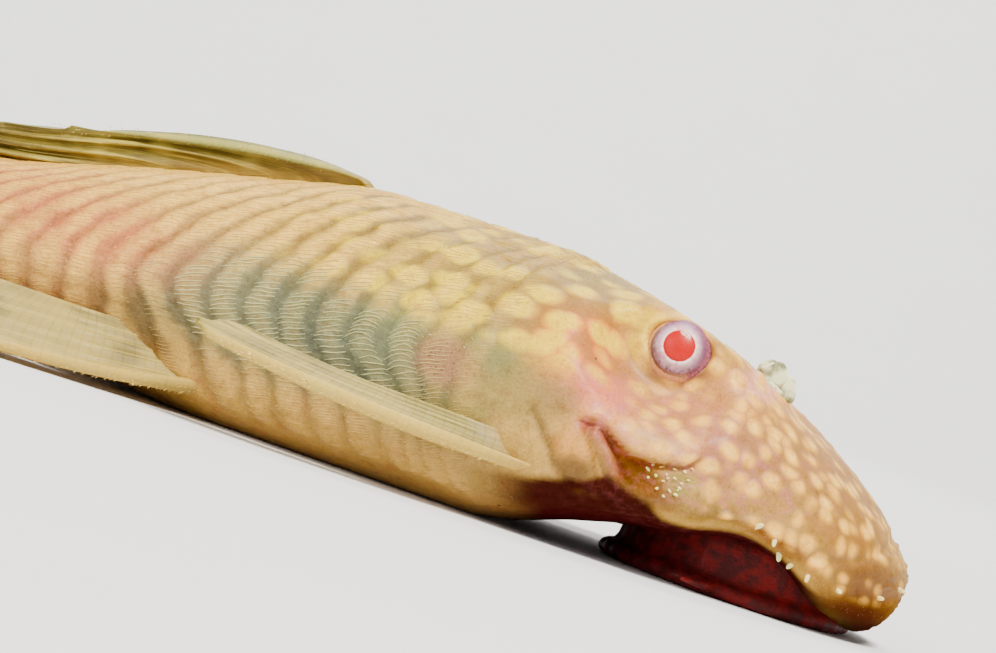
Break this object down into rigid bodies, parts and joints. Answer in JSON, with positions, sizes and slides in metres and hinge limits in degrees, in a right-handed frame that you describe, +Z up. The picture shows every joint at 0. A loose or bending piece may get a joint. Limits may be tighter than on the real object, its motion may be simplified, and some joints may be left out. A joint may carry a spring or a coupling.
{
  "type": "bristlenose pleco",
  "caption": "Life-size armoured catfish resting on its belly, with bony plates, bristled snout, sucker mouth and folded fins.",
  "frame": {"origin": "centre of the fish's bounding box, at the level that it rests on", "axes": "+X towards the snout, +Y to the fish's left, +Z up"},
  "size_m": [0.1175, 0.0342, 0.0179],
  "materials": {
    "head_skin": "moist, satin",
    "body_plates": "moist, satin",
    "fin_rays": "thin, satin",
    "lips": "soft, moist",
    "eye": "wet, clear"
  },
  "bodies": {
    "root": {"head": "head_skin", "trunk": "body_plates", "tail_stalk": "body_plates", "mouth_disc": "lips", "eye_left": "eye", "eye_right": "eye", "dorsal_fin": "fin_rays", "adipose_fin": "fin_rays", "anal_fin": "fin_rays", "caudal_fin": "fin_rays", "pectoral_fin_left": "fin_rays", "pectoral_fin_right": "fin_rays", "pelvic_fin_left": "fin_rays", "pelvic_fin_right": "fin_rays"}
  },
  "joints": []
}
